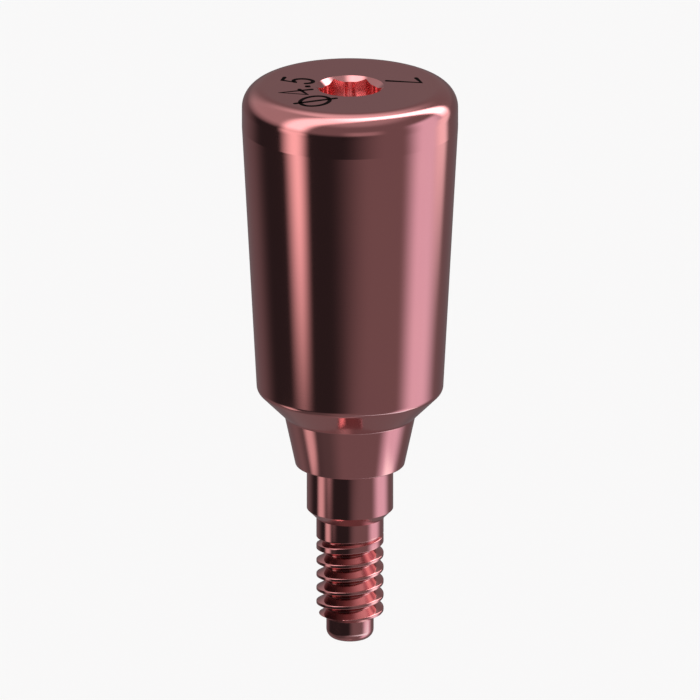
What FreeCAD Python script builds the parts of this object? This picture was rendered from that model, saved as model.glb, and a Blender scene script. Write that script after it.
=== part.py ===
import FreeCAD, Part
import os
import Sketcher

# A healing abutment: one piece of titanium alloy, turned on a lathe. Its tapered head
# shapes the gum, its conical collar seats in the implant, the guide cylinder centres it
# there and the threaded shank holds it. Millimetres, +Z towards the head. The origin is
# on the axis, in the plane of the flat shoulder under the collar.

PIECE = "healing_abutment"

# Driving sizes. Diameters are full ones, lengths run along the axis, and every angle is
# measured from the axis in degrees.
SIZES = (
    ("head_diameter", 4.5, "widest part of the head"),
    ("head_height", 8.25, "shoulder to the flat top face"),
    ("top_round", 0.46, "radius between the top face and the side of the head"),
    ("band_height", 0.88, "top face to the lower edge of the straight band"),
    ("taper_foot_diameter", 3.88, "head where its taper meets the undercut"),
    ("taper_foot_round", 0.18, "radius at the foot of the taper"),
    ("undercut_angle", 45, "slope of the undercut below the head"),
    ("collar_top_diameter", 2.73, "seating cone at its wide end"),
    ("collar_foot_diameter", 2.27, "seating cone at the shoulder"),
    ("collar_height", 1.07, "length of the seating cone"),
    ("collar_top_round", 0.05, "radius where the collar meets the undercut"),
    ("shoulder_break", 0.03, "radius that breaks the edge of the shoulder"),
    ("guide_diameter", 1.8, "cylinder that centres the abutment"),
    ("guide_length", 0.96, "shoulder to the foot of the guide cylinder"),
    ("neck_chamfer_angle", 45, "chamfer between the guide cylinder and the neck"),
    ("thread_diameter", 1.4, "outside of the thread, and the plain neck above it"),
    ("shank_length", 3.8, "shoulder to the tip"),
    ("pilot_diameter", 0.986, "plain pilot below the thread"),
    ("pilot_length", 0.455, "length of the pilot with its rounded end"),
    ("pilot_round", 0.196, "radius round the end of the pilot"),
    ("thread_end_angle", 60, "chamfer where the thread meets the pilot"),
    ("thread_pitch", 0.3, "rise of the groove in one turn"),
    ("thread_depth", 0.2, "depth of the groove"),
    ("thread_flank_angle", 60, "slope of either flank of the groove"),
    ("thread_crest_width", 0.06, "flat land left between two turns"),
    ("thread_lead", 0.18, "tip to the middle of the groove where the cut starts"),
    ("thread_runout_turns", 1, "turns over which the groove fades out at the neck"),
    ("neck_length", 0.31, "plain neck between its chamfer and the end of the groove"),
    ("socket_across_flats", 1.16, "hexagon for the driver"),
    ("socket_depth", 1.1, "top face to the bottom of the flats"),
    ("countersink_diameter", 1.42, "mouth of the socket on the top face"),
    ("countersink_angle", 50, "slope of the countersink"),
    ("drill_point_angle", 59, "slope of the drilled bottom"),
)

doc = FreeCAD.newDocument(PIECE)
sheet = doc.addObject("Spreadsheet::Sheet", "sizes")
for row, (alias, value, meaning) in enumerate(SIZES, start=1):
    sheet.set(f"A{row}", alias)
    sheet.set(f"B{row}", str(value))
    sheet.setAlias(f"B{row}", alias)
    sheet.set(f"C{row}", meaning)
doc.recompute()

body = doc.addObject("PartDesign::Body", PIECE)
body.Label = PIECE

# Places that follow from the driving sizes. A height is above the shoulder and a depth
# is below it.
HEAD_RADIUS = "sizes.head_diameter / 2"
FOOT_RADIUS = "sizes.taper_foot_diameter / 2"
COLLAR_TOP_RADIUS = "sizes.collar_top_diameter / 2"
COLLAR_FOOT_RADIUS = "sizes.collar_foot_diameter / 2"
GUIDE_RADIUS = "sizes.guide_diameter / 2"
THREAD_RADIUS = "sizes.thread_diameter / 2"
PILOT_RADIUS = "sizes.pilot_diameter / 2"
COUNTERSINK_RADIUS = "sizes.countersink_diameter / 2"
BAND_FOOT_HEIGHT = "(sizes.head_height - sizes.band_height)"
TAPER_FOOT_HEIGHT = (
    "(sizes.collar_height + (sizes.taper_foot_diameter - sizes.collar_top_diameter) / 2"
    " / tan(sizes.undercut_angle))"
)
NECK_TOP_DEPTH = (
    "(sizes.guide_length + (sizes.guide_diameter - sizes.thread_diameter) / 2"
    " / tan(sizes.neck_chamfer_angle))"
)
PILOT_TOP_DEPTH = "(sizes.shank_length - sizes.pilot_length)"
THREAD_FOOT_DEPTH = (
    f"({PILOT_TOP_DEPTH} - (sizes.thread_diameter - sizes.pilot_diameter) / 2"
    " / tan(sizes.thread_end_angle))"
)


def value_of(expression):
    """The number that an expression of the driving sizes gives."""
    return float(body.evalExpression(expression))


def plane(role):
    """One of the body's own origin planes."""
    return next(p for p in body.Origin.OriginFeatures if p.Role == role)


def bind(sketch, kind, places, expression):
    """A dimension of the sketch that follows an expression of the driving sizes."""
    index = sketch.addConstraint(Sketcher.Constraint(kind, *places, value_of(expression)))
    sketch.setExpression(f"Constraints[{index}]", expression)


def outline(name, corners, azimuth="0"):
    """A closed outline in the half plane at this azimuth. Each corner is its radius and
    its height, both expressions, and a height that starts with a minus is a depth."""
    sketch = body.newObject("Sketcher::SketchObject", name)
    sketch.AttachmentSupport = (plane("XZ_Plane"), [""])
    sketch.MapMode = "FlatFace"
    turn = FreeCAD.Rotation(FreeCAD.Vector(0, 1, 0), value_of(azimuth))
    sketch.AttachmentOffset = FreeCAD.Placement(FreeCAD.Vector(), turn)
    if azimuth != "0":
        sketch.setExpression("AttachmentOffset.Rotation.Angle", azimuth)
    points = [FreeCAD.Vector(value_of(r), value_of(z), 0) for r, z in corners]
    for start, end in zip(points, points[1:] + points[:1]):
        sketch.addGeometry(Part.LineSegment(start, end))
    for i, (radius, height) in enumerate(corners):
        sketch.addConstraint(Sketcher.Constraint("Coincident", i - 1 if i else len(corners) - 1, 2, i, 1))
        if radius == "0":
            sketch.addConstraint(Sketcher.Constraint("PointOnObject", i, 1, -2))
        else:
            bind(sketch, "DistanceX", (-1, 1, i, 1), radius)
        if height == "0":
            sketch.addConstraint(Sketcher.Constraint("PointOnObject", i, 1, -1))
        elif height.startswith("-"):
            bind(sketch, "DistanceY", (i, 1, -1, 1), height[1:])
        else:
            bind(sketch, "DistanceY", (-1, 1, i, 1), height)
    return sketch


def turned(kind, name, corners):
    """A turned feature: its outline, swept once round the axis."""
    sketch = outline(f"{name}_outline", corners)
    feature = body.newObject(kind, name)
    feature.Profile = sketch
    feature.ReferenceAxis = (sketch, ["V_Axis"])
    feature.Angle = 360
    sketch.Visibility = False
    doc.recompute()
    return feature


def rounded(name, radius, height, size):
    """A radius on the circular edge of the solid at this radius and height."""
    base = body.Tip
    place = FreeCAD.Vector(0, 0, value_of(height))
    edges = [
        f"Edge{i}"
        for i, edge in enumerate(base.Shape.Edges, start=1)
        if isinstance(edge.Curve, Part.Circle)
        and edge.Curve.Center.isEqual(place, 1e-5)
        and abs(edge.Curve.Radius - value_of(radius)) < 1e-5
    ]
    feature = body.newObject("PartDesign::Fillet", name)
    feature.Base = (base, edges)
    feature.setExpression("Radius", f"sizes.{size}")
    doc.recompute()
    return feature


# The turned blank, from the top face down to the tip.
turned(
    "PartDesign::Revolution",
    "blank",
    (
        ("0", "sizes.head_height"),
        (HEAD_RADIUS, "sizes.head_height"),
        (HEAD_RADIUS, BAND_FOOT_HEIGHT),
        (FOOT_RADIUS, TAPER_FOOT_HEIGHT),
        (COLLAR_TOP_RADIUS, "sizes.collar_height"),
        (COLLAR_FOOT_RADIUS, "0"),
        (GUIDE_RADIUS, "0"),
        (GUIDE_RADIUS, "-sizes.guide_length"),
        (THREAD_RADIUS, "-" + NECK_TOP_DEPTH),
        (THREAD_RADIUS, "-" + THREAD_FOOT_DEPTH),
        (PILOT_RADIUS, "-" + PILOT_TOP_DEPTH),
        (PILOT_RADIUS, "-sizes.shank_length"),
        ("0", "-sizes.shank_length"),
    ),
)
rounded("top_edge", HEAD_RADIUS, "sizes.head_height", "top_round")
rounded("taper_foot", FOOT_RADIUS, TAPER_FOOT_HEIGHT, "taper_foot_round")
rounded("collar_top", COLLAR_TOP_RADIUS, "sizes.collar_height", "collar_top_round")
rounded("shoulder_edge", COLLAR_FOOT_RADIUS, "0", "shoulder_break")
rounded("pilot_end", PILOT_RADIUS, "-sizes.shank_length", "pilot_round")

# The driver socket in the top face: a countersink, a hexagon with two corners on the X
# axis, and the drilled bottom under its flats.
turned(
    "PartDesign::Groove",
    "countersink",
    (
        ("0", "sizes.head_height"),
        (COUNTERSINK_RADIUS, "sizes.head_height"),
        ("0", f"sizes.head_height - {COUNTERSINK_RADIUS} / tan(sizes.countersink_angle)"),
    ),
)

hexagon = body.newObject("Sketcher::SketchObject", "socket_hexagon")
hexagon.AttachmentSupport = (plane("XY_Plane"), [""])
hexagon.MapMode = "FlatFace"
hexagon.setExpression("AttachmentOffset.Base.z", "sizes.head_height")
CORNER_RADIUS = "sizes.socket_across_flats / sqrt(3)"
centre = FreeCAD.Vector()
spoke = FreeCAD.Vector(value_of(CORNER_RADIUS), 0, 0)
tips = [FreeCAD.Rotation(FreeCAD.Vector(0, 0, 1), 60 * i).multVec(spoke) for i in range(6)]
for i, tip in enumerate(tips):
    hexagon.addGeometry(Part.LineSegment(tip, tips[(i + 1) % 6]))
guide_circle = hexagon.addGeometry(Part.Circle(centre, FreeCAD.Vector(0, 0, 1), spoke.x))
hexagon.setConstruction(guide_circle, True)
hexagon.addConstraint(Sketcher.Constraint("Coincident", guide_circle, 3, -1, 1))
for i in range(6):
    hexagon.addConstraint(Sketcher.Constraint("Coincident", i, 2, (i + 1) % 6, 1))
    hexagon.addConstraint(Sketcher.Constraint("PointOnObject", i, 1, guide_circle))
    if i:
        hexagon.addConstraint(Sketcher.Constraint("Equal", 0, i))
hexagon.addConstraint(Sketcher.Constraint("PointOnObject", 0, 1, -1))
bind(hexagon, "Radius", (guide_circle,), CORNER_RADIUS)
socket = body.newObject("PartDesign::Pocket", "socket")
socket.Profile = hexagon
socket.setExpression("Length", "sizes.socket_depth")
hexagon.Visibility = False
doc.recompute()

SOCKET_FLOOR = "sizes.head_height - sizes.socket_depth"
FLAT_RADIUS = "sizes.socket_across_flats / 2"
turned(
    "PartDesign::Groove",
    "drill_point",
    (
        ("0", SOCKET_FLOOR),
        (FLAT_RADIUS, SOCKET_FLOOR),
        ("0", f"{SOCKET_FLOOR} - {FLAT_RADIUS} / tan(sizes.drill_point_angle)"),
    ),
)

# The right-hand thread is a V groove cut upwards from below the thread's end. It keeps
# its depth along the shank, and then climbs out of the metal at the neck. The cutter
# stands a little proud of the blank, short of where two turns of it would touch, and its
# tip keeps a narrow flat however deep it goes.
FLANK_SLOPE = "tan(90 - sizes.thread_flank_angle)"
PROUD = f"(sizes.thread_crest_width / 4 / {FLANK_SLOPE})"
MOUTH_HALF = "((sizes.thread_pitch - sizes.thread_crest_width) / 2)"
OUTER_HALF = f"({MOUTH_HALF} + {PROUD} * {FLANK_SLOPE})"
ROOT_HALF = f"max({MOUTH_HALF} - sizes.thread_depth * {FLANK_SLOPE}; 0.003)"
START_DEPTH = "(sizes.shank_length - sizes.thread_lead)"
GROOVE_END_DEPTH = f"({NECK_TOP_DEPTH} + sizes.neck_length)"
FULL_TURNS = f"(({START_DEPTH} - {GROOVE_END_DEPTH}) / sizes.thread_pitch - sizes.thread_runout_turns)"
RUNOUT_DEPTH = f"({GROOVE_END_DEPTH} + sizes.thread_runout_turns * sizes.thread_pitch)"


def groove(name, middle_depth, azimuth="0"):
    """The section of the thread's groove, its middle this far below the shoulder."""
    outer = f"{THREAD_RADIUS} + {PROUD}"
    root = f"{THREAD_RADIUS} - sizes.thread_depth"
    corners = (
        (root, f"-({middle_depth} + {ROOT_HALF})"),
        (outer, f"-({middle_depth} + {OUTER_HALF})"),
        (outer, f"-({middle_depth} - {OUTER_HALF})"),
        (root, f"-({middle_depth} - {ROOT_HALF})"),
    )
    return outline(name, corners, azimuth)


def helix_cut(name, section, mode, expressions):
    """A groove cut along a right-hand helix round the axis."""
    cut = body.newObject("PartDesign::SubtractiveHelix", name)
    cut.Profile = section
    cut.ReferenceAxis = (section, ["V_Axis"])
    cut.Mode = mode
    cut.LeftHanded = False
    cut.Reversed = False
    for size, expression in expressions.items():
        cut.setExpression(size, expression)
    section.Visibility = False
    doc.recompute()
    return cut


helix_cut(
    "thread",
    groove("thread_section", START_DEPTH),
    "pitch-turns-angle",
    {"Pitch": "sizes.thread_pitch", "Turns": FULL_TURNS},
)
helix_cut(
    "thread_runout",
    groove("runout_section", RUNOUT_DEPTH, f"({FULL_TURNS} * 360)"),
    "height-turns-growth",
    {
        "Height": "sizes.thread_runout_turns * sizes.thread_pitch",
        "Turns": "sizes.thread_runout_turns",
        "Growth": "sizes.thread_depth / sizes.thread_runout_turns",
    },
)

# Nothing is written unless the whole model is sound.
failed = [o.Name for o in doc.Objects if {"Invalid", "Error"} & set(o.State)]
if failed:
    raise RuntimeError(f"failed features: {failed}")
shape = body.Shape
if shape.isNull() or not shape.isValid() or len(shape.Solids) != 1:
    raise RuntimeError("the abutment isn't one valid solid")
os.makedirs("parts", exist_ok=True)
shape.exportStep(f"parts/{body.Label}.step")
box = shape.optimalBoundingBox(False)
print(f"{body.Label}: {shape.Volume:.3f} mm3, {box.XLength:.3f} x {box.YLength:.3f} x {box.ZLength:.3f} mm")
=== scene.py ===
# A healing abutment: the tapered cap that is screwed into a dental implant while the gum heals round
# it. It is turned from one bar of titanium alloy, anodised pink, and its sizes are lasered on top.
# The part stands upright on its axis, head up, with its shoulder plane at height zero.

import bpy
import math
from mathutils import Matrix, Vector


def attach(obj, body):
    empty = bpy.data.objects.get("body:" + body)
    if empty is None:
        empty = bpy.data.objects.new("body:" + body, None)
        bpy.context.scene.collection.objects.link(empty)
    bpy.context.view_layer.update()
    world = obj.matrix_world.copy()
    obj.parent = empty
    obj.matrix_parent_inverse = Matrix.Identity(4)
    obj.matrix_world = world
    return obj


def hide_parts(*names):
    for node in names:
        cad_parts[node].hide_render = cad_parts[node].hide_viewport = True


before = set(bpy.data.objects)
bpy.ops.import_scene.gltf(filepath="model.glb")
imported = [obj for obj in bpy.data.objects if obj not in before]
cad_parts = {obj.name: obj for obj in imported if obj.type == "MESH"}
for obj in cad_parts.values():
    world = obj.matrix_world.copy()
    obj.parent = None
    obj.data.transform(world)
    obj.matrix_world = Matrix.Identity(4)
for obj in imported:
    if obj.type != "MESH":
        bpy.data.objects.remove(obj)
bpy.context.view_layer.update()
MM = 0.001

# The view: a long lens a little above the part, square on to it, so that the head's top shows as a
# thin ellipse and the thread hangs clear below. The frame is 700 by 700 pixels.

VIEW_ELEVATION = math.radians(18.1)
VIEW_WIDTH = 14.559 * MM
VIEW_HEIGHT_ON_AXIS = 2.473 * MM
VIEW_DISTANCE = 150 * MM

camera_data = bpy.data.cameras.new("long_lens")
camera_data.type = "ORTHO"
camera_data.ortho_scale = VIEW_WIDTH
camera_data.clip_start = 1 * MM
camera_data.clip_end = 1
camera = bpy.data.objects.new("long_lens", camera_data)
camera.location = (
    0,
    -VIEW_DISTANCE * math.cos(VIEW_ELEVATION),
    VIEW_HEIGHT_ON_AXIS + VIEW_DISTANCE * math.sin(VIEW_ELEVATION),
)
camera.rotation_euler = (math.pi / 2 - VIEW_ELEVATION, 0, 0)
bpy.context.scene.collection.objects.link(camera)
bpy.context.scene.camera = camera
bpy.context.scene.view_settings.view_transform = "Standard"

# The socket's walls and the thread's grooves mirror one another many times over.

bpy.context.scene.cycles.glossy_bounces = 10

# The studio: a grey room with black flags low down in front and behind on the left, a strip light that
# arches over the part from left front to right back, a cool soft box on the right, and a weak glow
# high behind. A lens sees plain white paper behind the part.

WHITE_PAPER = (0.956, 0.956, 0.956, 1)
ROOM_GREY = (0.218, 0.198, 0.2)
FLAG_BLACK = (0.027, 0.029, 0.03)


def add_node(tree, kind, inputs=None, **settings):
    made = tree.nodes.new(kind)
    for name, value in settings.items():
        setattr(made, name, value)
    for socket, value in (inputs or {}).items():
        if isinstance(value, bpy.types.NodeSocket):
            tree.links.new(value, made.inputs[socket])
        else:
            made.inputs[socket].default_value = value
    return made


def maths(tree, operation, first, second=None, third=None):
    values = {0: first, 1: second, 2: third}
    given = {socket: value for socket, value in values.items() if value is not None}
    return add_node(tree, "ShaderNodeMath", given, operation=operation).outputs[0]


def ramp(tree, value, start, end):
    """0 up to start, 1 from end on, smooth between them; it falls instead where start is above end."""
    low, high = min(start, end), max(start, end)
    rising = start < end
    inputs = {"Value": value, "From Min": low, "From Max": high}
    inputs.update({"To Min": 0.0 if rising else 1.0, "To Max": 1.0 if rising else 0.0})
    node = add_node(tree, "ShaderNodeMapRange", inputs, interpolation_type="SMOOTHSTEP")
    return node.outputs["Result"]


def product(tree, *masks):
    result = masks[0]
    for mask in masks[1:]:
        result = maths(tree, "MULTIPLY", result, mask)
    return result


def laid_over(tree, below, colour, mask):
    mix = add_node(tree, "ShaderNodeMix", {0: mask, 6: below, 7: colour}, data_type="RGBA")
    return mix.outputs[2]


studio = bpy.data.worlds.new("studio")
bpy.context.scene.world = studio
studio.use_nodes = True
sky = studio.node_tree
sky.nodes.clear()
direction = add_node(sky, "ShaderNodeTexCoord").outputs["Generated"]
axes = add_node(sky, "ShaderNodeSeparateXYZ", {0: direction})
right, back, up = axes.outputs
degrees_up = maths(sky, "DEGREES", maths(sky, "ARCSINE", up))
toward_lens = maths(sky, "MULTIPLY", back, -1.0)
degrees_round = maths(sky, "DEGREES", maths(sky, "ARCTAN2", right, toward_lens))
degrees_behind = maths(sky, "ABSOLUTE", degrees_round)


def room_patch(left=None, right=None, behind=None, foot=None, top=None):
    """A soft-edged patch of the room. Each edge given fades in from its first angle to its second."""
    edges = (
        (degrees_round, left),
        (degrees_round, right),
        (degrees_behind, behind),
        (degrees_up, foot),
        (degrees_up, top),
    )
    return product(sky, *(ramp(sky, angle, *fade) for angle, fade in edges if fade))


light = (*ROOM_GREY, 1)

FLAG_SHADE = (0.115, 0.115, 0.115)
low_shade = room_patch(left=(-130, -95), right=(-12, -48), foot=(-72, -58), top=(-24, -36))
light = laid_over(sky, light, (*FLAG_SHADE, 1), low_shade)

BACK_SHADE = (0.175, 0.155, 0.16)
back_shade = room_patch(behind=(118, 144), foot=(-46, -36), top=(9, 1))
light = laid_over(sky, light, (*BACK_SHADE, 1), back_shade)

FLAG_BEND = -18
FRONT_FLAG_SLANT = 2.5
LEFT_FLAG_SLANT_SHARE = 0.9
below_bend = maths(sky, "MINIMUM", maths(sky, "SUBTRACT", degrees_up, FLAG_BEND), 0.0)
flag_slant = maths(sky, "MULTIPLY", below_bend, FRONT_FLAG_SLANT)
front_edge = maths(sky, "SUBTRACT", degrees_round, flag_slant)
front_flag = product(
    sky,
    ramp(sky, front_edge, 40, -8),
    room_patch(left=(-88, -72), foot=(-42, -27), top=(13, -5)),
)
light = laid_over(sky, light, (*FLAG_BLACK, 1), front_flag)
back_edge = maths(sky, "MULTIPLY_ADD", flag_slant, LEFT_FLAG_SLANT_SHARE, degrees_round)
left_flag = product(
    sky,
    ramp(sky, back_edge, -150, -110),
    room_patch(right=(-54, -70), foot=(-42, -27), top=(9, -3)),
)
light = laid_over(sky, light, (*FLAG_BLACK, 1), left_flag)

LEFT_WALL = (0.5, 0.47, 0.47)
left_wall = room_patch(left=(-170, -140), right=(-45, -70), foot=(2, 22))
light = laid_over(sky, light, (*LEFT_WALL, 1), left_wall)

CEILING = (0.47, 0.45, 0.45)
light = laid_over(sky, light, (*CEILING, 1), room_patch(foot=(42, 66)))

GLOW = (1.05, 1.0, 1.0)
light = laid_over(sky, light, (*GLOW, 1), room_patch(behind=(130, 160), foot=(30, 64)))

FRONT_LIFT = (0.44, 0.4, 0.4)
front_lift = room_patch(left=(-14, 8), right=(42, 22), foot=(0, 9), top=(27, 16))
light = laid_over(sky, light, (*FRONT_LIFT, 1), front_lift)

SOFT_BOX = (1.01, 1.01, 1.17)
soft_box = room_patch(left=(58, 86), right=(131, 98), foot=(-68, -46), top=(30, 17))
light = laid_over(sky, light, (*SOFT_BOX, 1), soft_box)


def outward(bearing):
    """The level direction of a bearing, which is 0 toward the lens and a right angle to the right."""
    return Vector((math.sin(bearing), -math.cos(bearing), 0))


def sideways(bearing):
    return Vector((math.cos(bearing), math.sin(bearing), 0))


STRIP_BEARING = math.radians(120)
STRIP_LEAN = 0.045
STRIP_LEFT = (2.1, 1.95, 1.95)
STRIP_LEFT_LOW = (1.2, 1.05, 1.03)
STRIP_RIGHT = (4.2, 4.1, 4.1)
STRIP_RIGHT_LOW = (1.3, 1.2, 1.22)
STRIP_HALF_LEFT = 0.34
STRIP_HALF_RIGHT = 0.215
STRIP_CORE = 0.28
across = add_node(
    sky, "ShaderNodeVectorMath", {0: direction, 1: sideways(STRIP_BEARING)}, operation="DOT_PRODUCT"
).outputs["Value"]
along = add_node(
    sky, "ShaderNodeVectorMath", {0: direction, 1: outward(STRIP_BEARING)}, operation="DOT_PRODUCT"
).outputs["Value"]
to_right = ramp(sky, along, -0.25, 0.35)
half_width = maths(
    sky, "ADD", STRIP_HALF_LEFT, maths(sky, "MULTIPLY", to_right, STRIP_HALF_RIGHT - STRIP_HALF_LEFT)
)
off_centre = maths(sky, "ABSOLUTE", maths(sky, "SUBTRACT", across, STRIP_LEAN))
left_colour = laid_over(sky, (*STRIP_LEFT_LOW, 1), (*STRIP_LEFT, 1), room_patch(foot=(0, 22)))
right_colour = laid_over(sky, (*STRIP_RIGHT_LOW, 1), (*STRIP_RIGHT, 1), room_patch(foot=(-2, 26)))
strip_colour = laid_over(sky, left_colour, right_colour, to_right)
left_end = maths(sky, "MAXIMUM", room_patch(foot=(-15, -3)), ramp(sky, along, -0.1, 0.1))
right_end = maths(sky, "MAXIMUM", room_patch(foot=(-15, 3)), ramp(sky, along, 0.1, -0.1))
strip_edges = ramp(sky, maths(sky, "DIVIDE", off_centre, half_width), 1.0, STRIP_CORE)
strip = product(sky, strip_edges, left_end, right_end)
light = laid_over(sky, light, strip_colour, strip)

background = add_node(sky, "ShaderNodeBackground", {"Color": light, "Strength": 1.0})
paper = add_node(sky, "ShaderNodeBackground", {"Color": WHITE_PAPER, "Strength": 1.0})
rays = add_node(sky, "ShaderNodeLightPath")
seen = add_node(
    sky,
    "ShaderNodeMixShader",
    {0: rays.outputs["Is Camera Ray"], 1: background.outputs[0], 2: paper.outputs[0]},
)
add_node(sky, "ShaderNodeOutputWorld", {"Surface": seen.outputs[0]})


def soft_glow(name, colour, shape, slant=0, top_rise=0):
    """A card's glow, which fades at its edges. shape has the four ramps of its left, right, foot and
    top edges, slant narrows its lower left and top_rise lifts its top edge to the right."""
    material = bpy.data.materials.new(name)
    material.use_nodes = True
    tree = material.node_tree
    tree.nodes.clear()
    place = add_node(tree, "ShaderNodeUVMap", uv_map="card").outputs[0]
    split = add_node(tree, "ShaderNodeSeparateXYZ", {0: place})
    left, left_full, right_full, right, foot, foot_full, top_full, top = shape
    place_along, place_up, _ = split.outputs
    lower_half = ramp(tree, place_up, 0.58, 0.4)
    narrowed = maths(tree, "MULTIPLY", lower_half, slant)
    lifted_top = maths(tree, "MULTIPLY", place_along, top_rise)
    mask = product(
        tree,
        ramp(tree, maths(tree, "SUBTRACT", place_along, narrowed), left, left_full),
        ramp(tree, place_along, right, right_full),
        ramp(tree, place_up, foot, foot_full),
        ramp(tree, maths(tree, "SUBTRACT", place_up, lifted_top), top, top_full),
    )
    glow_shader = add_node(tree, "ShaderNodeEmission", {"Color": (*colour, 1), "Strength": 1.0})
    clear = add_node(tree, "ShaderNodeBsdfTransparent")
    both = {0: mask, 1: clear.outputs[0], 2: glow_shader.outputs[0]}
    mixed = add_node(tree, "ShaderNodeMixShader", both)
    add_node(tree, "ShaderNodeOutputMaterial", {"Surface": mixed.outputs[0]})
    return material


def as_light_only(card):
    """Only the metal's reflections see this card."""
    card.visible_camera = False
    card.visible_shadow = False
    card.visible_diffuse = False


def emission_card(name, centre, bearing, width, height, colour, shape, slant=0):
    """A flat soft-edged card that faces the axis from this bearing."""
    side = sideways(bearing)
    mesh = bpy.data.meshes.new(name)
    corners = []
    for across_card, up_card in ((-1, -1), (1, -1), (1, 1), (-1, 1)):
        corners.append(centre + side * width / 2 * across_card + Vector((0, 0, height / 2 * up_card)))
    mesh.from_pydata(corners, [], [(0, 1, 2, 3)])
    uv = mesh.uv_layers.new(name="card")
    for loop, place in zip(uv.data, ((0, 0), (1, 0), (1, 1), (0, 1))):
        loop.uv = place
    card = bpy.data.objects.new(name, mesh)
    bpy.context.scene.collection.objects.link(card)
    mesh.materials.append(soft_glow(name, colour, shape, slant))
    as_light_only(card)


# The strip light's left end is a lit cloth panel that comes down close beside the part, so that its
# reflection fades down the head. Like the cards after it, it is there for the metal's reflections alone.

LEFT_BEARING = math.radians(-61)
END_DISTANCE = 22 * MM
emission_card(
    "strip_left_end",
    centre=outward(LEFT_BEARING) * END_DISTANCE,
    bearing=LEFT_BEARING,
    width=20 * MM,
    height=20 * MM,
    colour=(1.42, 1.22, 1.2),
    shape=(0.1, 0.52, 0.56, 0.9, 0.02, 0.42, 0.8, 0.98),
    slant=0.1,
)

# Its right end is a like panel behind on the right. It stands higher, and only the head's upper part
# sees it.

RIGHT_BEARING = math.radians(120)
RIGHT_SHIFT = 3.4 * MM
RIGHT_RISE = Vector((0, 0, 1 * MM))
emission_card(
    "strip_right_end",
    centre=outward(RIGHT_BEARING) * END_DISTANCE - sideways(RIGHT_BEARING) * RIGHT_SHIFT + RIGHT_RISE,
    bearing=RIGHT_BEARING,
    width=14 * MM,
    height=18 * MM,
    colour=(1.3, 1.24, 1.24),
    shape=(0.015, 0.46, 0.61, 0.98, 0.16, 0.5, 0.8, 1.0),
)

# A small card of white board stands low on the left. It picks out the left of the collar and of the
# guide cylinder.

emission_card(
    "low_left_card",
    centre=Vector((-7 * MM, -1.2 * MM, -2.9 * MM)),
    bearing=math.radians(-90),
    width=8 * MM,
    height=5 * MM,
    colour=(0.88, 0.79, 0.77),
    shape=(0.26, 0.48, 0.56, 0.82, 0.04, 0.26, 0.62, 0.96),
)

# A card of grey board stands low in front. It opens the black flag a little for the collar, the guide
# cylinder and the neck.

FRONT_BEARING = math.radians(20)
FRONT_DISTANCE = 22 * MM
FRONT_DROP = Vector((0, 0, -9.75 * MM))
emission_card(
    "low_front_card",
    centre=outward(FRONT_BEARING) * FRONT_DISTANCE + FRONT_DROP,
    bearing=FRONT_BEARING,
    width=24 * MM,
    height=10.5 * MM,
    colour=ROOM_GREY,
    shape=(0.0, 0.62, 0.75, 1.0, -0.1, -0.05, 0.6, 1.0),
)

# A cool sheet of paper is bent round the lower right of the part. Only the thread's flanks look down
# at it, by way of each other, and it grows brighter to the right.

SHEET_RADIUS = 7 * MM
SHEET_LEFT = -35
SHEET_RIGHT = 105
SHEET_TOP = -5.2 * MM
SHEET_FOOT = -9.8 * MM
SHEET_FOLDS = 28
SHEET_COOL = (1.25, 1.9, 1.95)
sheet_mesh = bpy.data.meshes.new("bent_sheet")
sheet_points = []
sheet_places = []
for fold in range(SHEET_FOLDS + 1):
    share = fold / SHEET_FOLDS
    bearing = math.radians(SHEET_LEFT + (SHEET_RIGHT - SHEET_LEFT) * share)
    for height, place_up in ((SHEET_FOOT, 0), (SHEET_TOP, 1)):
        sheet_points.append(outward(bearing) * SHEET_RADIUS + Vector((0, 0, height)))
        sheet_places.append((share, place_up))
sheet_faces = [(2 * fold, 2 * fold + 2, 2 * fold + 3, 2 * fold + 1) for fold in range(SHEET_FOLDS)]
sheet_mesh.from_pydata(sheet_points, [], sheet_faces)
sheet_uv = sheet_mesh.uv_layers.new(name="card")
for corner in sheet_mesh.loops:
    sheet_uv.data[corner.index].uv = sheet_places[corner.vertex_index]
bent_sheet = bpy.data.objects.new("bent_sheet", sheet_mesh)
bpy.context.scene.collection.objects.link(bent_sheet)
sheet_mesh.materials.append(
    soft_glow("bent_sheet", SHEET_COOL, (0.04, 0.86, 0.92, 1.0, 0.2, 0.34, 0.45, 0.6), top_rise=0.42)
)
as_light_only(bent_sheet)

# A small card of bright white board stands above the sheet's right end. The right ends of the thread's
# flanks mirror it.

emission_card(
    "small_right_card",
    centre=Vector((7 * MM, 0, -4.6 * MM)),
    bearing=math.radians(88),
    width=5 * MM,
    height=1.9 * MM,
    colour=(1.6, 2.0, 2.0),
    shape=(0.0, 0.4, 0.6, 1.0, 0.0, 0.3, 0.62, 1.0),
)

# The floor is a pale round table well below the tip. The lens sees it as the same white paper, with
# the part's faint shadow on it.

FLOOR_HEIGHT = -10 * MM
FLOOR_RADIUS = 400 * MM
FLOOR_SIDES = 128
WHITE_SHARE = 0.88
MATT_WHITE = (0.9, 0.9, 0.9, 1)
floor_mesh = bpy.data.meshes.new("floor")
rim = []
for side_number in range(FLOOR_SIDES):
    turn = 2 * math.pi * side_number / FLOOR_SIDES
    rim.append((FLOOR_RADIUS * math.cos(turn), FLOOR_RADIUS * math.sin(turn), FLOOR_HEIGHT))
floor_mesh.from_pydata(rim, [], [tuple(range(FLOOR_SIDES))])
floor = bpy.data.objects.new("floor", floor_mesh)
bpy.context.scene.collection.objects.link(floor)
floor_material = bpy.data.materials.new("pale_paper")
floor_material.use_nodes = True
paper_tree = floor_material.node_tree
paper_tree.nodes.clear()
matt = add_node(paper_tree, "ShaderNodeBsdfDiffuse", {"Color": MATT_WHITE})
white = add_node(paper_tree, "ShaderNodeEmission", {"Color": WHITE_PAPER, "Strength": 1.0})
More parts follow.
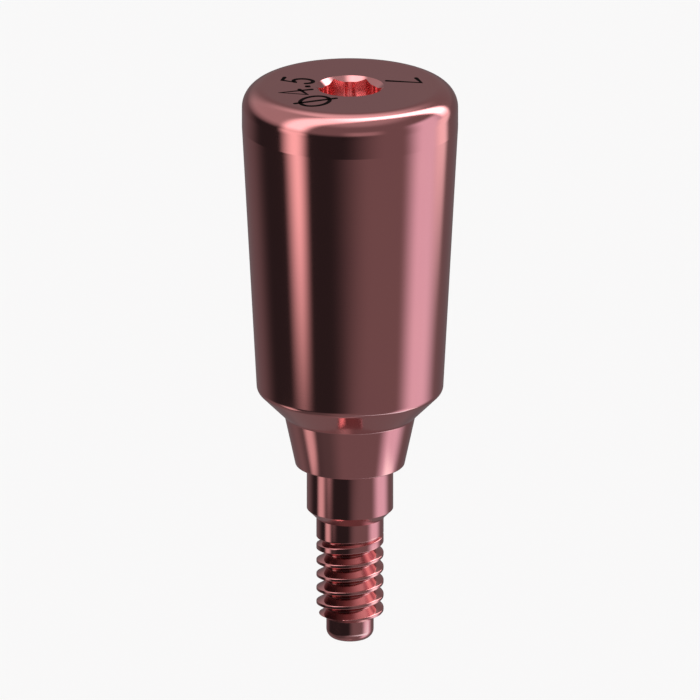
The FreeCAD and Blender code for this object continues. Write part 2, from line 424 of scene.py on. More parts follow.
floor_rays = add_node(paper_tree, "ShaderNodeLightPath")
mostly_white = maths(paper_tree, "MULTIPLY", floor_rays.outputs["Is Camera Ray"], WHITE_SHARE)
floor_seen = add_node(
    paper_tree,
    "ShaderNodeMixShader",
    {0: mostly_white, 1: matt.outputs[0], 2: white.outputs[0]},
)
add_node(paper_tree, "ShaderNodeOutputMaterial", {"Surface": floor_seen.outputs[0]})
floor_mesh.materials.append(floor_material)
floor.visible_glossy = False

# The abutment: one turned piece. The lathe cuts the pilot, the neck, the guide cylinder, the collar, the
# tapered head and its rounded top edge, a drill and a hexagonal broach cut the driver socket, and the
# screw thread is cut last, running out below the neck.

HEAD_DIAMETER = 4.5
HEAD_HEIGHT = 8.25
TOP_ROUND = 0.46
BAND_FOOT = 7.37
TAPER_FOOT_DIAMETER = 3.88
TAPER_FOOT = 1.645
TAPER_FOOT_ROUND = 0.18
COLLAR_TOP_DIAMETER = 2.73
COLLAR_FOOT_DIAMETER = 2.27
COLLAR_TOP = 1.07
COLLAR_TOP_ROUND = 0.05
SHOULDER_BREAK = 0.03
GUIDE_DIAMETER = 1.8
GUIDE_FOOT = -0.96
NECK_TOP = -1.16
THREAD_DIAMETER = 1.4
THREAD_TOP = -1.42
THREAD_FOOT = -3.345
THREAD_END_SLOPE = math.radians(60)
PILOT_DIAMETER = 0.986
PILOT_TIP = -3.8
PILOT_ROUND = 0.196
MOUTH_DIAMETER = 1.42
MOUTH_SLOPE = math.radians(40)
ACROSS_FLATS = 1.16
SOCKET_DRILL = 1.182
SOCKET_FLOOR = HEAD_HEIGHT - 1.1
FLOOR_BAND = 0.2
DRILL_SLOPE = math.radians(59)
STEPS_AROUND = 192
ARC_STEP = math.radians(4)
RUN_MARGIN = 0.006
LONG_STRAIGHT = 8 * RUN_MARGIN


def rounded_run(corners):
    """The outline through these corners (radius, height, round), with the rounds put in."""
    run = [Vector(corners[0][:2])]
    for before, here, after in zip(corners, corners[1:], corners[2:]):
        point = Vector(here[:2])
        back_way = (Vector(before[:2]) - point).normalized()
        on_way = (Vector(after[:2]) - point).normalized()
        if here[2] == 0:
            run.append(point)
            continue
        corner_angle = back_way.angle(on_way)
        centre = point + (back_way + on_way).normalized() * here[2] / math.sin(corner_angle / 2)
        tangent = here[2] / math.tan(corner_angle / 2)
        first = point + back_way * tangent - centre
        last = point + on_way * tangent - centre
        turn = first.angle(last)
        steps = max(3, round(turn / ARC_STEP))
        for step in range(steps + 1):
            share = step / steps
            weight_first = math.sin((1 - share) * turn) / math.sin(turn)
            weight_last = math.sin(share * turn) / math.sin(turn)
            run.append(centre + first * weight_first + last * weight_last)
    run.append(Vector(corners[-1][:2]))
    return run


def with_margins(run):
    """Two more points just inside each long straight, so that its faces keep their own normals."""
    result = [run[0]]
    for start, end in zip(run, run[1:]):
        length = (end - start).length
        if length > LONG_STRAIGHT:
            result.append(start.lerp(end, RUN_MARGIN / length))
            result.append(start.lerp(end, 1 - RUN_MARGIN / length))
        result.append(end)
    return result


below_thread = with_margins(rounded_run([
    (0, PILOT_TIP, 0),
    (PILOT_DIAMETER / 2, PILOT_TIP, PILOT_ROUND),
    (PILOT_DIAMETER / 2, THREAD_FOOT, 0),
]))
above_thread = with_margins(rounded_run([
    (THREAD_DIAMETER / 2, THREAD_TOP, 0),
    (THREAD_DIAMETER / 2, NECK_TOP, 0),
    (GUIDE_DIAMETER / 2, GUIDE_FOOT, 0),
    (GUIDE_DIAMETER / 2, 0, 0),
    (COLLAR_FOOT_DIAMETER / 2, 0, SHOULDER_BREAK),
    (COLLAR_TOP_DIAMETER / 2, COLLAR_TOP, COLLAR_TOP_ROUND),
    (TAPER_FOOT_DIAMETER / 2, TAPER_FOOT, TAPER_FOOT_ROUND),
    (HEAD_DIAMETER / 2, BAND_FOOT, 0),
    (HEAD_DIAMETER / 2, HEAD_HEIGHT, TOP_ROUND),
    (MOUTH_DIAMETER / 2, HEAD_HEIGHT, 0),
]))
flat_radius = ACROSS_FLATS / 2
mouth_radius = MOUTH_DIAMETER / 2
mouth_foot = HEAD_HEIGHT - (mouth_radius - flat_radius) * math.tan(MOUTH_SLOPE)
socket_points = [
    (Vector((flat_radius, mouth_foot)), 1, 1),
    (Vector((flat_radius, SOCKET_FLOOR + FLOOR_BAND)), 1, 0),
    (Vector((flat_radius, SOCKET_FLOOR)), 1, 0),
    (Vector((flat_radius, SOCKET_FLOOR)), 0, 0),
    (Vector((0, SOCKET_FLOOR - flat_radius / math.tan(DRILL_SLOPE))), 0, 0),
]
outline = [(point, 0, 0) for point in below_thread + above_thread] + socket_points
outline_mesh = bpy.data.meshes.new("abutment_outline")
outline_mesh.from_pydata([(p.x * MM, 0, p.y * MM) for p, _, _ in outline], [], [])
broached = outline_mesh.attributes.new("broached", "FLOAT", "POINT")
broached.data.foreach_set("value", [float(share) for _, share, _ in outline])
countersunk = outline_mesh.attributes.new("countersunk", "FLOAT", "POINT")
countersunk.data.foreach_set("value", [float(share) for _, _, share in outline])


def new_tree(name, inputs, outputs):
    tree = bpy.data.node_groups.new(name, "GeometryNodeTree")
    for label, kind, value in inputs:
        socket = tree.interface.new_socket(label, in_out="INPUT", socket_type=kind)
        if value is not None:
            socket.default_value = value
    for label, kind in outputs:
        tree.interface.new_socket(label, in_out="OUTPUT", socket_type=kind)
    entry = add_node(tree, "NodeGroupInput").outputs
    end = add_node(tree, "NodeGroupOutput").inputs
    return tree, entry, end


def round_the_axis(tree, radius, angle, height):
    """The place at this radius from the part's axis, turned by this angle, at this height."""
    place = {
        0: maths(tree, "MULTIPLY", radius, maths(tree, "COSINE", angle)),
        1: maths(tree, "MULTIPLY", radius, maths(tree, "SINE", angle)),
        2: height,
    }
    return add_node(tree, "ShaderNodeCombineXYZ", place).outputs[0]


# The lathe: each outline point is carried round the axis, and the points of the socket's walls are
# pulled out to the hexagon. Its drill is a hair wider than the flats and leaves a hollow down each.

lathe, given, result = new_tree(
    "lathe_and_broach",
    (
        ("Outline", "NodeSocketGeometry", None),
        ("Steps Around", "NodeSocketInt", STEPS_AROUND),
        ("Across Flats", "NodeSocketFloat", ACROSS_FLATS * MM),
        ("Socket Drill", "NodeSocketFloat", SOCKET_DRILL * MM),
        ("Mouth Diameter", "NodeSocketFloat", MOUTH_DIAMETER * MM),
        ("Mouth Slope", "NodeSocketFloat", MOUTH_SLOPE),
        ("Top Height", "NodeSocketFloat", HEAD_HEIGHT * MM),
    ),
    (("Surface", "NodeSocketGeometry"),),
)
count = add_node(lathe, "GeometryNodeAttributeDomainSize", {0: given["Outline"]}).outputs["Point Count"]
columns = maths(lathe, "ADD", given["Steps Around"], 1.0)
sheet = add_node(lathe, "GeometryNodeMeshGrid", {"Vertices X": columns, "Vertices Y": count})
number = add_node(lathe, "GeometryNodeInputIndex").outputs[0]
row = maths(lathe, "MODULO", number, count)
column = maths(lathe, "FLOOR", maths(lathe, "DIVIDE", maths(lathe, "ADD", number, 0.5), count))
turn_step = maths(lathe, "DIVIDE", 2 * math.pi, given["Steps Around"])
turn_angle = maths(lathe, "MULTIPLY", column, turn_step)


def from_outline(name, kind):
    """The value that this column's point had on the outline."""
    named = add_node(lathe, "GeometryNodeInputNamedAttribute", {"Name": name}, data_type=kind)
    sample = add_node(
        lathe,
        "GeometryNodeSampleIndex",
        {"Geometry": given["Outline"], "Value": named.outputs[0], "Index": row},
        data_type=kind,
    )
    return sample.outputs[0]


outline_place = add_node(lathe, "ShaderNodeSeparateXYZ", {0: from_outline("position", "FLOAT_VECTOR")})
wall_share = from_outline("broached", "FLOAT")
mouth_share = from_outline("countersunk", "FLOAT")
sixth = math.pi / 3
SLIVER = 1e-6
past_corner = maths(lathe, "MODULO", maths(lathe, "ADD", turn_angle, SLIVER), sixth)
to_wall = maths(lathe, "SUBTRACT", past_corner, sixth / 2)
half_flats = maths(lathe, "DIVIDE", given["Across Flats"], 2.0)
wall_distance = maths(lathe, "DIVIDE", half_flats, maths(lathe, "COSINE", to_wall))
drilled = maths(lathe, "DIVIDE", given["Socket Drill"], 2.0)
wall_distance = maths(lathe, "MAXIMUM", wall_distance, drilled)
radius = add_node(
    lathe, "ShaderNodeMix", {0: wall_share, 2: outline_place.outputs[0], 3: wall_distance}
).outputs[0]
mouth_half = maths(lathe, "DIVIDE", given["Mouth Diameter"], 2.0)
mouth_drop = maths(
    lathe,
    "MULTIPLY",
    maths(lathe, "SUBTRACT", mouth_half, radius),
    maths(lathe, "TANGENT", given["Mouth Slope"]),
)
mouth_height = maths(lathe, "SUBTRACT", given["Top Height"], mouth_drop)
height = add_node(
    lathe, "ShaderNodeMix", {0: mouth_share, 2: outline_place.outputs[2], 3: mouth_height}
).outputs[0]
carried = round_the_axis(lathe, radius, turn_angle, height)
turned = add_node(
    lathe, "GeometryNodeSetPosition", {"Geometry": sheet.outputs[0], "Position": carried}
)
lathe.links.new(turned.outputs[0], result["Surface"])

# The thread: a strip one pitch wide, from crest to crest, is wound up the shank. A V groove with a
# narrow flat root is pressed into it, shallower and shallower over the last turn. Points that come near
# the strip's ends, or near the edge where the foot's slope cuts it, are moved onto them.

PITCH = 0.3
THREAD_DEPTH = 0.2
CREST_WIDTH = 0.06
FLANK_ANGLE = math.radians(30)
GROOVE_START = -3.62
FULL_TURNS = 6.1667
RUN_OUT_PER_TURN = 0.2
FIRST_TURN = 0.25
LAST_TURN = 8
CREST_ROUND = 0.016
END_SNAP = 0.005
EDGE_SNAP = 0.0048
ROWS_ACROSS = 39
ROOT_SHARE = 1 / ROWS_ACROSS
FLANK_SHARE = 25 / ROWS_ACROSS
ROUND_SHARE = 33 / ROWS_ACROSS
ROUND_FADE = 3.0
LEAST_CLOSING = 0.2

thread, given, result = new_tree(
    "thread_strip",
    (
        ("Steps Around", "NodeSocketInt", STEPS_AROUND),
        ("Rows Across", "NodeSocketInt", ROWS_ACROSS),
        ("Thread Diameter", "NodeSocketFloat", THREAD_DIAMETER * MM),
        ("Pitch", "NodeSocketFloat", PITCH * MM),
        ("Depth", "NodeSocketFloat", THREAD_DEPTH * MM),
        ("Crest Width", "NodeSocketFloat", CREST_WIDTH * MM),
        ("Flank Angle", "NodeSocketFloat", FLANK_ANGLE),
        ("Crest Round", "NodeSocketFloat", CREST_ROUND * MM),
        ("Groove Start", "NodeSocketFloat", GROOVE_START * MM),
        ("Full Turns", "NodeSocketFloat", FULL_TURNS),
        ("Run-out per Turn", "NodeSocketFloat", RUN_OUT_PER_TURN * MM),
        ("First Turn", "NodeSocketFloat", FIRST_TURN),
        ("Last Turn", "NodeSocketFloat", LAST_TURN),
        ("Top", "NodeSocketFloat", THREAD_TOP * MM),
        ("Foot", "NodeSocketFloat", THREAD_FOOT * MM),
        ("Foot Diameter", "NodeSocketFloat", PILOT_DIAMETER * MM),
        ("Foot Slope", "NodeSocketFloat", THREAD_END_SLOPE),
        ("End Snap", "NodeSocketFloat", END_SNAP * MM),
        ("Edge Snap", "NodeSocketFloat", EDGE_SNAP * MM),
    ),
    (("Surface", "NodeSocketGeometry"),),
)


def plus(first, second):
    return maths(thread, "ADD", first, second)


def minus(first, second):
    return maths(thread, "SUBTRACT", first, second)


def times(first, second):
    return maths(thread, "MULTIPLY", first, second)


def over(first, second):
    return maths(thread, "DIVIDE", first, second)


turns = minus(given["Last Turn"], given["First Turn"])
strip_columns = plus(times(turns, given["Steps Around"]), 1.0)
strip_rows = plus(given["Rows Across"], 1.0)
strip_sheet = add_node(
    thread, "GeometryNodeMeshGrid", {"Vertices X": strip_columns, "Vertices Y": strip_rows}
)
number = add_node(thread, "GeometryNodeInputIndex").outputs[0]
row = maths(thread, "MODULO", number, strip_rows)
column = maths(thread, "FLOOR", over(plus(number, 0.5), strip_rows))
turn_number = plus(given["First Turn"], over(column, given["Steps Around"]))
turn_angle = times(turn_number, 2 * math.pi)
groove_centre = plus(given["Groove Start"], times(turn_number, given["Pitch"]))
turns_over = maths(thread, "MAXIMUM", minus(turn_number, given["Full Turns"]), 0.0)
lifted = maths(thread, "MINIMUM", times(turns_over, given["Run-out per Turn"]), given["Depth"])
depth_left = minus(given["Depth"], lifted)
flank_tangent = maths(thread, "TANGENT", given["Flank Angle"])
opening = over(minus(given["Pitch"], given["Crest Width"]), 2.0)
root_half = minus(opening, times(given["Depth"], flank_tangent))
edge = minus(opening, times(lifted, flank_tangent))
across = minus(times(over(row, given["Rows Across"]), 2.0), 1.0)
out_from_root = maths(thread, "ABSOLUTE", across)


def share_between(start, end):
    node = add_node(thread, "ShaderNodeMapRange", {0: out_from_root, 1: start, 2: end, 3: 0.0, 4: 1.0})
    return node.outputs["Result"]


root_part = share_between(0.0, ROOT_SHARE)
flank_part = share_between(ROOT_SHARE, FLANK_SHARE)
round_part = share_between(FLANK_SHARE, ROUND_SHARE)
crest_part = share_between(ROUND_SHARE, 1.0)
round_full = maths(thread, "MINIMUM", 1.0, over(depth_left, times(given["Crest Round"], ROUND_FADE)))
crest_round = times(given["Crest Round"], round_full)
full_turn = minus(math.pi / 2, given["Flank Angle"])
round_start = plus(edge, times(crest_round, maths(thread, "TANGENT", times(full_turn, 0.5))))
arc_angle = times(full_turn, minus(1.0, round_part))
arc_offset = minus(round_start, times(crest_round, maths(thread, "SINE", arc_angle)))
arc_depth = times(crest_round, minus(1.0, maths(thread, "COSINE", arc_angle)))
half_pitch = over(given["Pitch"], 2.0)
on_arc = maths(thread, "GREATER_THAN", round_part, 0.0)
below_arc = plus(times(root_part, root_half), times(flank_part, minus(arc_offset, root_half)))
above_arc = plus(arc_offset, times(crest_part, minus(half_pitch, round_start)))
offset = plus(below_arc, times(on_arc, minus(above_arc, below_arc)))
offset = times(offset, maths(thread, "SIGN", across))
height = plus(groove_centre, offset)
near_foot = maths(thread, "LESS_THAN", height, plus(given["Foot"], given["End Snap"]))
height = plus(height, times(near_foot, minus(given["Foot"], height)))
near_top = maths(thread, "GREATER_THAN", height, minus(given["Top"], given["End Snap"]))
height = plus(height, times(near_top, minus(given["Top"], height)))
flank_depth = plus(depth_left, times(flank_part, minus(arc_depth, depth_left)))
depth_here = plus(flank_depth, times(on_arc, minus(arc_depth, flank_depth)))
radius = minus(over(given["Thread Diameter"], 2.0), depth_here)
above_foot = minus(height, given["Foot"])
end_tangent = maths(thread, "TANGENT", given["Foot Slope"])
end_radius = plus(over(given["Foot Diameter"], 2.0), times(above_foot, end_tangent))
outside_end = minus(radius, end_radius)
side_slope = times(maths(thread, "TANGENT", arc_angle), maths(thread, "SIGN", across))
closing = maths(thread, "MAXIMUM", minus(end_tangent, side_slope), LEAST_CLOSING)
to_edge = over(outside_end, closing)
near_edge = maths(thread, "LESS_THAN", maths(thread, "ABSOLUTE", to_edge), given["Edge Snap"])
height = plus(height, times(near_edge, to_edge))
edge_radius = plus(end_radius, times(end_tangent, to_edge))
radius = maths(thread, "MINIMUM", radius, end_radius)
radius = plus(radius, times(near_edge, minus(edge_radius, radius)))
wound = round_the_axis(thread, radius, turn_angle, height)
wound_strip = add_node(
    thread, "GeometryNodeSetPosition", {"Geometry": strip_sheet.outputs[0], "Position": wound}
)
thread.links.new(wound_strip.outputs[0], result["Surface"])

# Both surfaces are welded into one closed skin. Its corners stay crisp, its rounds smooth, and each point
# knows how near it lies to a corner, where the finish paints a paler pink as a highlight.

CORNER_ANGLE = math.radians(22)
WELD = 0.0001 * MM

abutment_tree, given, result = new_tree(
    "turned_abutment",
    (
        ("Outline", "NodeSocketGeometry", None),
        ("Steps Around", "NodeSocketInt", STEPS_AROUND),
        ("Thread Top", "NodeSocketFloat", THREAD_TOP * MM),
        ("Thread Foot", "NodeSocketFloat", THREAD_FOOT * MM),
        ("Corner Angle", "NodeSocketFloat", CORNER_ANGLE),
        ("Weld Distance", "NodeSocketFloat", WELD),
        ("Material", "NodeSocketMaterial", None),
    ),
    (("Geometry", "NodeSocketGeometry"),),
)
lathe_node = add_node(abutment_tree, "GeometryNodeGroup", node_tree=lathe)
abutment_tree.links.new(given["Outline"], lathe_node.inputs["Outline"])
abutment_tree.links.new(given["Steps Around"], lathe_node.inputs["Steps Around"])
thread_node = add_node(abutment_tree, "GeometryNodeGroup", node_tree=thread)
abutment_tree.links.new(given["Steps Around"], thread_node.inputs["Steps Around"])
abutment_tree.links.new(given["Thread Top"], thread_node.inputs["Top"])
abutment_tree.links.new(given["Thread Foot"], thread_node.inputs["Foot"])
face_place = add_node(abutment_tree, "GeometryNodeInputPosition").outputs[0]
face_height = add_node(abutment_tree, "ShaderNodeSeparateXYZ", {0: face_place}).outputs[2]
in_thread = maths(
    abutment_tree,
    "MULTIPLY",
    maths(abutment_tree, "GREATER_THAN", face_height, given["Thread Foot"]),
    maths(abutment_tree, "LESS_THAN", face_height, given["Thread Top"]),
)
open_for_thread = add_node(
    abutment_tree,
    "GeometryNodeDeleteGeometry",
    {"Geometry": lathe_node.outputs[0], "Selection": in_thread},
    domain="FACE",
)
joined = add_node(abutment_tree, "GeometryNodeJoinGeometry")
abutment_tree.links.new(open_for_thread.outputs[0], joined.inputs[0])
abutment_tree.links.new(thread_node.outputs[0], joined.inputs[0])
welded = add_node(
    abutment_tree,
    "GeometryNodeMergeByDistance",
    {"Geometry": joined.outputs[0], "Distance": given["Weld Distance"]},
)
corner = add_node(abutment_tree, "GeometryNodeInputMeshEdgeAngle").outputs["Unsigned Angle"]
is_corner = maths(abutment_tree, "GREATER_THAN", corner, given["Corner Angle"])
smooth = add_node(
    abutment_tree, "GeometryNodeSetShadeSmooth", {"Geometry": welded.outputs[0], "Shade Smooth": True}
)
creased = add_node(
    abutment_tree,
    "GeometryNodeSetShadeSmooth",
    {"Geometry": smooth.outputs[0], "Selection": is_corner, "Shade Smooth": False},
    domain="EDGE",
)
near_corner = add_node(
    abutment_tree, "GeometryNodeBlurAttribute", {"Value": is_corner, "Iterations": 1}, data_type="FLOAT"
)
marked = add_node(
    abutment_tree,
    "GeometryNodeStoreNamedAttribute",
    {"Geometry": creased.outputs[0], "Name": "near_corner", "Value": near_corner.outputs[0]},
    data_type="FLOAT",
    domain="POINT",
)


def realised_and_dressed(tree, geometry, given, result):
    """The tree's last steps: instances become real, and the material is set."""
    real = add_node(tree, "GeometryNodeRealizeInstances", {0: geometry}).outputs[0]
    dressed = add_node(tree, "GeometryNodeSetMaterial", {"Geometry": real, "Material": given["Material"]})
    tree.links.new(dressed.outputs[0], result["Geometry"])


realised_and_dressed(abutment_tree, marked.outputs[0], given, result)

# Its finish: titanium turned to a shine and anodised pink. The oxide's colour wanders a little from place
# to place, the lathe has left rings that are almost polished out, and the sharp corners are painted a
# shade paler as a painted highlight.

ANODISED_PINK = (0.705, 0.303, 0.301, 1)
ANODISED_ROSE = (0.692, 0.294, 0.299, 1)
EDGE_HIGHLIGHT_PINK = (0.78, 0.42, 0.41, 1)
EDGE_HIGHLIGHT_SHARE = 0.3
SHINE = 0.096
DULLER = 0.02
PATCHES_PER_MM = 0.42
PATCH_EDGES = (0.38, 0.62)
SMEARS_PER_MM = 1.6
RINGS_PER_MM = 26
RING_DEPTH = 0.00008
TOOL_SLANT = 0.73


def place_on_part(tree):
    """Where a point lies on the part, its distance from the axis and its height."""
    place = add_node(tree, "ShaderNodeTexCoord").outputs["Object"]
    x, y, z = add_node(tree, "ShaderNodeSeparateXYZ", {0: place}).outputs
    level = add_node(tree, "ShaderNodeCombineXYZ", {0: x, 1: y}).outputs[0]
    from_axis = add_node(tree, "ShaderNodeVectorMath", {0: level}, operation="LENGTH").outputs["Value"]
    return place, from_axis, z


turning = bpy.data.node_groups.new("turning_marks", "ShaderNodeTree")
turning.interface.new_socket("Rings per Metre", in_out="INPUT", socket_type="NodeSocketFloat")
turning.interface.new_socket("Height", in_out="OUTPUT", socket_type="NodeSocketFloat")
turning.interface.new_socket("Dullness", in_out="OUTPUT", socket_type="NodeSocketFloat")
given = add_node(turning, "NodeGroupInput").outputs
place, from_axis, height = place_on_part(turning)
tool_way = maths(turning, "MULTIPLY_ADD", from_axis, TOOL_SLANT, height)
rings = add_node(
    turning,
    "ShaderNodeTexNoise",
    {"W": maths(turning, "MULTIPLY", tool_way, given["Rings per Metre"]), "Scale": 1.0, "Detail": 2.0},
    noise_dimensions="1D",
)
smears = add_node(
    turning, "ShaderNodeTexNoise", {"Vector": place, "Scale": SMEARS_PER_MM / MM, "Detail": 3.0}
)
ends = add_node(turning, "NodeGroupOutput").inputs
turning.links.new(rings.outputs[0], ends["Height"])
turning.links.new(maths(turning, "MULTIPLY", rings.outputs[0], smears.outputs[0]), ends["Dullness"])

oxide = bpy.data.node_groups.new("oxide_tint", "ShaderNodeTree")
oxide.interface.new_socket("Thin", in_out="INPUT", socket_type="NodeSocketColor")
oxide.interface.new_socket("Thick", in_out="INPUT", socket_type="NodeSocketColor")
oxide.interface.new_socket("Patches per Metre", in_out="INPUT", socket_type="NodeSocketFloat")
oxide.interface.new_socket("Colour", in_out="OUTPUT", socket_type="NodeSocketColor")
given = add_node(oxide, "NodeGroupInput").outputs
place = add_node(oxide, "ShaderNodeTexCoord").outputs["Object"]
patches = add_node(
    oxide, "ShaderNodeTexNoise", {"Vector": place, "Scale": given["Patches per Metre"], "Detail": 2.0}
)
thick_share = ramp(oxide, patches.outputs[0], *PATCH_EDGES)
tinted = laid_over(oxide, given["Thin"], given["Thick"], thick_share)
oxide.links.new(tinted, add_node(oxide, "NodeGroupOutput").inputs["Colour"])


def anodised_finish(name, thin, thick, shine, duller):
    """A metal that shows the oxide's tint and the turning marks: its material, node tree and colour."""
    material = bpy.data.materials.new(name)
    material.use_nodes = True
    tree = material.node_tree
    shader = tree.nodes["Principled BSDF"]
    tint = add_node(
        tree,
        "ShaderNodeGroup",
        {"Thin": thin, "Thick": thick, "Patches per Metre": PATCHES_PER_MM / MM},
        node_tree=oxide,
    )
    marks = add_node(tree, "ShaderNodeGroup", {"Rings per Metre": RINGS_PER_MM / MM}, node_tree=turning)
    bump_inputs = {"Height": marks.outputs["Height"], "Distance": RING_DEPTH * MM}
    bump = add_node(tree, "ShaderNodeBump", bump_inputs)
    tree.links.new(bump.outputs[0], shader.inputs["Normal"])
    roughness = maths(tree, "MULTIPLY_ADD", marks.outputs["Dullness"], duller, shine)
    tree.links.new(roughness, shader.inputs["Roughness"])
    tree.links.new(tint.outputs["Colour"], shader.inputs["Base Color"])
    return material, tree, tint.outputs["Colour"]


anodised, finish_tree, pink = anodised_finish(
    "pink_anodised_titanium", ANODISED_PINK, ANODISED_ROSE, SHINE, DULLER
)
shader = finish_tree.nodes["Principled BSDF"]
shader.inputs["Metallic"].default_value = 1.0
# Painted highlight: points near sharp corners get a paler pink.
painted_edge_highlight = add_node(finish_tree, "ShaderNodeAttribute", attribute_name="near_corner").outputs["Fac"]
with_edge_highlight = laid_over(finish_tree, pink, EDGE_HIGHLIGHT_PINK, maths(finish_tree, "MULTIPLY", painted_edge_highlight, EDGE_HIGHLIGHT_SHARE))

# The socket's walls are painted a paler pink than outside, as painted light that brightens the deep
# recess. It changes over just below the countersink.

SOCKET_PAINTED_LIGHT = (0.915, 0.59, 0.59, 1)
PALE_FROM = HEAD_HEIGHT - 0.12
ALL_PALE_FROM = HEAD_HEIGHT - 0.2
WALL_LEAN = (0.5, 0.3)
WITHIN_MOUTH = 0.99 * MOUTH_DIAMETER / 2

_, from_axis, height = place_on_part(finish_tree)
facing = add_node(finish_tree, "ShaderNodeNewGeometry").outputs["Normal"]
facing_up = add_node(finish_tree, "ShaderNodeSeparateXYZ", {0: facing}).outputs[2]
on_wall = ramp(finish_tree, maths(finish_tree, "ABSOLUTE", facing_up), *WALL_LEAN)
below_mouth = ramp(finish_tree, height, PALE_FROM * MM, ALL_PALE_FROM * MM)
socket_painted_light = product(
    finish_tree,
    maths(finish_tree, "MAXIMUM", on_wall, below_mouth),
    maths(finish_tree, "LESS_THAN", from_axis, WITHIN_MOUTH * MM),
    maths(finish_tree, "GREATER_THAN", height, TAPER_FOOT * MM),
)
# Painted light: the paler pink brightens the socket's walls.
coloured = laid_over(finish_tree, with_edge_highlight, SOCKET_PAINTED_LIGHT, socket_painted_light)
finish_tree.links.new(coloured, shader.inputs["Base Color"])


def grown_piece(name, mesh, tree, material):
    """A plain mesh object made from this mesh by the tree, with nothing left live on it."""
    seed = bpy.data.objects.new(name + "_seed", mesh)
    bpy.context.scene.collection.objects.link(seed)
    modifier = seed.modifiers.new(tree.name, "NODES")
    modifier.node_group = tree
    for item in tree.interface.items_tree:
        if item.in_out == "INPUT" and item.name == "Material":
            modifier[item.identifier] = material
    ready = seed.evaluated_get(bpy.context.evaluated_depsgraph_get())
    plain = bpy.data.meshes.new_from_object(ready)
    bpy.data.objects.remove(seed)
    piece = bpy.data.objects.new(name, plain)
    bpy.context.scene.collection.objects.link(piece)
    return piece


abutment = grown_piece("abutment_body", outline_mesh, abutment_tree, anodised)
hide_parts("healing_abutment")
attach(abutment, "root")

# The size marks: the head's diameter and the height of gum that it suits, in plain figures. A laser has
# darkened them into the oxide. They read clockwise round the socket, with their tops outward.

MARK_STROKE = 0.086
MARK_RISE = 0.003
PEN_SIDES = 20
LASER_BLACK = (0.0015, 0.001, 0.001, 1)
LASER_BROWN = (0.004, 0.002, 0.002, 1)
LASER_DULL = 0.5
LASER_UNEVEN = 0.3
LASER_GLOSS = 0.02
PEN_THICKNESS_SHARE = 0.95


def bow(centre, half_width, half_height, start, end, steps):
    """Points along part of an ellipse, from one angle in degrees to another."""
    points = []
    for step in range(steps + 1):
        angle = math.radians(start + (end - start) * step / steps)
        across_bow = centre[0] + half_width * math.cos(angle)
        up_bow = centre[1] + half_height * math.sin(angle)
        points.append((across_bow, up_bow))
    return points


RING_FIGURE = bow((0, 0), 0.39, 0.5, 0, 345, 23)
FOUR_FIGURE = [(0.086, -0.53), (0.12, 0.475), (-0.336, -0.24), (0.21, -0.18)]
FIVE_FIGURE = [(0.24, 0.5), (-0.06, 0.5), (-0.16, 0.03)] + bow((0.02, -0.18), 0.235, 0.32, 138, -155, 22)
SEVEN_FIGURE = [(-0.228, 0.5), (0.288, 0.5), (-0.29, -0.5)]
POINT_FIGURE = [(-0.5, -0.5), (0.5, -0.5), (0.5, 0.5), (-0.5, 0.5)]

# Each figure: its stroke, whether the stroke closes, its centre, the bearing of its top and its height.

FIGURES = (
    (RING_FIGURE, True, (-0.73, -1.01), 234, 0.72),
    ([(0.33, 0.52), (-0.336, -0.572)], False, (-0.73, -1.01), 234, 0.72),
    (FOUR_FIGURE, False, (-1.12, -0.41), 200, 0.69),
    (POINT_FIGURE, True, (-0.879, -0.023), 181, 0.04),
    (FIVE_FIGURE, False, (-1.087, 0.34), 165, 0.65),
    (SEVEN_FIGURE, False, (1.125, 0.285), 20, 0.634),
)

mark_points = []
mark_edges = []
for figure, closed, centre, bearing, tall in FIGURES:
    figure_up = Vector((math.cos(math.radians(bearing)), math.sin(math.radians(bearing))))
    clockwise = Vector((figure_up.y, -figure_up.x))
    first = len(mark_points)
    for across_figure, up_figure in figure:
        place = Vector(centre) + (clockwise * across_figure + figure_up * up_figure) * tall
        mark_points.append((place.x * MM, place.y * MM, HEAD_HEIGHT * MM))
    last = len(mark_points) - 1
    mark_edges += [(number, number + 1) for number in range(first, last)]
    if closed:
        mark_edges.append((last, first))
marks_mesh = bpy.data.meshes.new("mark_strokes")
marks_mesh.from_pydata(mark_points, mark_edges, [])

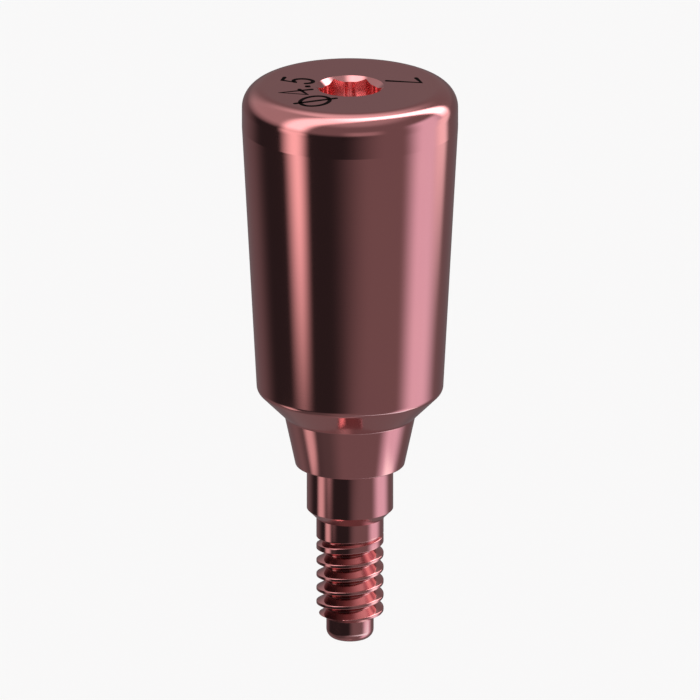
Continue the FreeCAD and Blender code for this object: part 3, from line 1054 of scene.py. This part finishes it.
marking, given, result = new_tree(
    "laser_strokes",
    (
        ("Strokes", "NodeSocketGeometry", None),
        ("Stroke Width", "NodeSocketFloat", MARK_STROKE * MM),
        ("Rise", "NodeSocketFloat", MARK_RISE * MM),
        ("Pen Sides", "NodeSocketInt", PEN_SIDES),
        ("Material", "NodeSocketMaterial", None),
    ),
    (("Geometry", "NodeSocketGeometry"),),
)
paths = add_node(marking, "GeometryNodeMeshToCurve", {"Mesh": given["Strokes"]})
level_paths = add_node(marking, "GeometryNodeSetCurveNormal", {"Curve": paths.outputs[0]}, mode="Z_UP")
thickness = maths(marking, "MULTIPLY", given["Rise"], 2.0)
nib = add_node(
    marking,
    "GeometryNodeCurvePrimitiveQuadrilateral",
    {"Width": given["Stroke Width"], "Height": thickness},
)
strokes = add_node(
    marking,
    "GeometryNodeCurveToMesh",
    {"Curve": level_paths.outputs[0], "Profile Curve": nib.outputs[0], "Fill Caps": True},
)
pen_tip = add_node(
    marking,
    "GeometryNodeMeshCylinder",
    {
        "Vertices": given["Pen Sides"],
        "Radius": maths(marking, "MULTIPLY", given["Stroke Width"], 0.5),
        "Depth": maths(marking, "MULTIPLY", thickness, PEN_THICKNESS_SHARE),
    },
)
at_ends = add_node(marking, "GeometryNodeCurveEndpointSelection")
round_ends = add_node(
    marking,
    "GeometryNodeInstanceOnPoints",
    {"Points": level_paths.outputs[0], "Selection": at_ends.outputs[0], "Instance": pen_tip.outputs[0]},
)
written = add_node(marking, "GeometryNodeJoinGeometry")
marking.links.new(strokes.outputs[0], written.inputs[0])
marking.links.new(round_ends.outputs[0], written.inputs[0])
realised_and_dressed(marking, written.outputs[0], given, result)

lasered, laser_tree, _ = anodised_finish(
    "laser_darkened_oxide", LASER_BLACK, LASER_BROWN, LASER_DULL, LASER_UNEVEN
)
laser_shader = laser_tree.nodes["Principled BSDF"]
laser_shader.inputs["Metallic"].default_value = 0.0
laser_shader.inputs["Specular IOR Level"].default_value = LASER_GLOSS

size_marks = grown_piece("size_marks", marks_mesh, marking, lasered)
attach(size_marks, "root")
